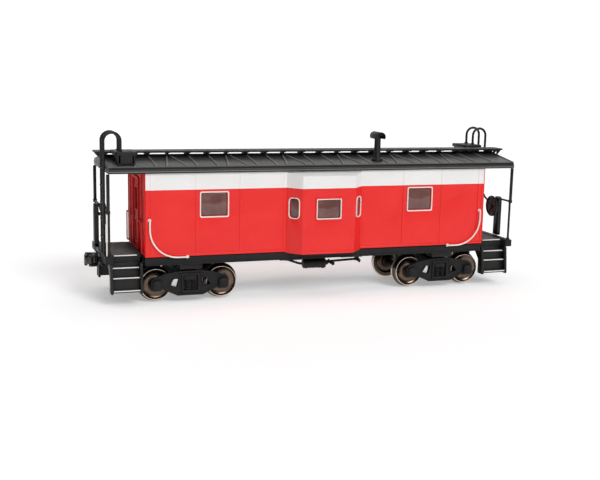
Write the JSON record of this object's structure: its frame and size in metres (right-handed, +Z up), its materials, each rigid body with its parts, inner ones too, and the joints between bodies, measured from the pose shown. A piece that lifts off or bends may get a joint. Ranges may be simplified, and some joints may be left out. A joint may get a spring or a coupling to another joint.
{
  "type": "bay-window caboose model",
  "caption": "Bay-window caboose railway model with end platforms, steps and ladders, on swivelling trucks with rolling wheelsets and knuckle couplers.",
  "frame": {"origin": "midway between the two trucks, on the plane of the wheel flange tips, which is the bottom centre of the bounding box", "axes": "+X along the car towards the end with the smoke jack, +Y across the car, +Z up"},
  "size_m": [0.1436, 0.0362, 0.0514],
  "materials": {
    "red_body_plastic": "smooth semi-gloss red; in the render the band under the eaves and the window surrounds are painted white",
    "white_paint": "white-painted moulded wire",
    "black_plastic": "satin black moulding; platform floor has a fine raised tread",
    "roof_plastic": "satin black-grey moulding with raised seams",
    "smoked_glazing": "smoky brown window insert, polished",
    "wheel_metal": "blackened brown metal with bright treads",
    "plated_steel": "plain plated metal"
  },
  "bodies": {
    "carbody": {"air_reservoir": "black_plastic", "ballast_weight": "plated_steel", "bay_glazing_far": "smoked_glazing", "bay_glazing_near": "smoked_glazing", "body_shell": "red_body_plastic", "brake_cylinder": "black_plastic", "brake_rigging": "black_plastic", "brake_stand_left": "black_plastic", "brake_stand_right": "black_plastic", "brake_wheel_left": "black_plastic", "brake_wheel_right": "black_plastic", "corner_handrail_left": "white_paint", "corner_handrail_right": "white_paint", "door_pane_left": "smoked_glazing", "door_pane_right": "smoked_glazing", "draft_lid_left": "black_plastic", "draft_lid_right": "black_plastic", "end_door_left": "red_body_plastic", "end_door_right": "red_body_plastic", "end_grab_left_far": "red_body_plastic", "end_grab_left_near": "red_body_plastic", "end_grab_right_far": "red_body_plastic", "end_grab_right_near": "red_body_plastic", "end_ladder_left": "black_plastic", "end_ladder_right": "black_plastic", "end_railing_left": "black_plastic", "end_railing_right": "black_plastic", "lateral_platform_left": "roof_plastic", "lateral_platform_right": "roof_plastic", "roof": "roof_plastic", "running_board": "roof_plastic", "side_grab_left_far": "white_paint", "side_grab_left_near": "white_paint", "side_grab_right_far": "white_paint", "side_grab_right_near": "white_paint", "smoke_jack": "roof_plastic", "steps_left_far": "black_plastic", "steps_left_near": "black_plastic", "steps_right_far": "black_plastic", "steps_right_near": "black_plastic", "truck_screw_left": "plated_steel", "truck_screw_right": "plated_steel", "underframe": "black_plastic", "window_pane_far_a": "smoked_glazing", "window_pane_far_b": "smoked_glazing", "window_pane_near_a": "smoked_glazing", "window_pane_near_b": "smoked_glazing"},
    "coupling_left": {"coupler_left": "black_plastic"},
    "coupling_right": {"coupler_right": "black_plastic"},
    "jaw_left": {"knuckle_left": "plated_steel"},
    "jaw_right": {"knuckle_right": "plated_steel"},
    "truck_left": {"truck_frame_left": "black_plastic"},
    "truck_right": {"truck_frame_right": "black_plastic"},
    "wheels_left_a": {"wheelset_left_a": "wheel_metal"},
    "wheels_left_b": {"wheelset_left_b": "wheel_metal"},
    "wheels_right_a": {"wheelset_right_a": "wheel_metal"},
    "wheels_right_b": {"wheelset_right_b": "wheel_metal"}
  },
  "joints": [
    {"name": "truck_left_swivel", "type": "hinge", "parent": "carbody", "child": "truck_left", "pos_m": [-0.04192, 0, 0.0104], "axis": [0, 0, 1], "range_deg": [-10, 10]},
    {"name": "wheels_left_a_roll", "type": "hinge", "parent": "truck_left", "child": "wheels_left_a", "pos_m": [-0.05205, 0, 0.00546], "axis": [0, 1, 0], "continuous": true},
    {"name": "wheels_left_b_roll", "type": "hinge", "parent": "truck_left", "child": "wheels_left_b", "pos_m": [-0.03179, 0, 0.00546], "axis": [0, 1, 0], "continuous": true},
    {"name": "coupling_left_swing", "type": "hinge", "parent": "carbody", "child": "coupling_left", "pos_m": [-0.0615, 0, 0.01185], "axis": [0, 0, 1], "range_deg": [-12, 12]},
    {"name": "jaw_left_open", "type": "hinge", "parent": "coupling_left", "child": "jaw_left", "pos_m": [-0.0699, -0.002, 0.012], "axis": [0, 0, 1], "range_deg": [0, 30], "stiffness_Nm_per_rad": 0.00005},
    {"name": "truck_right_swivel", "type": "hinge", "parent": "carbody", "child": "truck_right", "pos_m": [0.04192, 0, 0.0104], "axis": [0, 0, 1], "range_deg": [-10, 10]},
    {"name": "wheels_right_a_roll", "type": "hinge", "parent": "truck_right", "child": "wheels_right_a", "pos_m": [0.03179, 0, 0.00546], "axis": [0, 1, 0], "continuous": true},
    {"name": "wheels_right_b_roll", "type": "hinge", "parent": "truck_right", "child": "wheels_right_b", "pos_m": [0.05205, 0, 0.00546], "axis": [0, 1, 0], "continuous": true},
    {"name": "coupling_right_swing", "type": "hinge", "parent": "carbody", "child": "coupling_right", "pos_m": [0.0615, 0, 0.01185], "axis": [0, 0, 1], "range_deg": [-12, 12]},
    {"name": "jaw_right_open", "type": "hinge", "parent": "coupling_right", "child": "jaw_right", "pos_m": [0.0699, 0.002, 0.012], "axis": [0, 0, 1], "range_deg": [0, 30], "stiffness_Nm_per_rad": 0.00005}
  ]
}
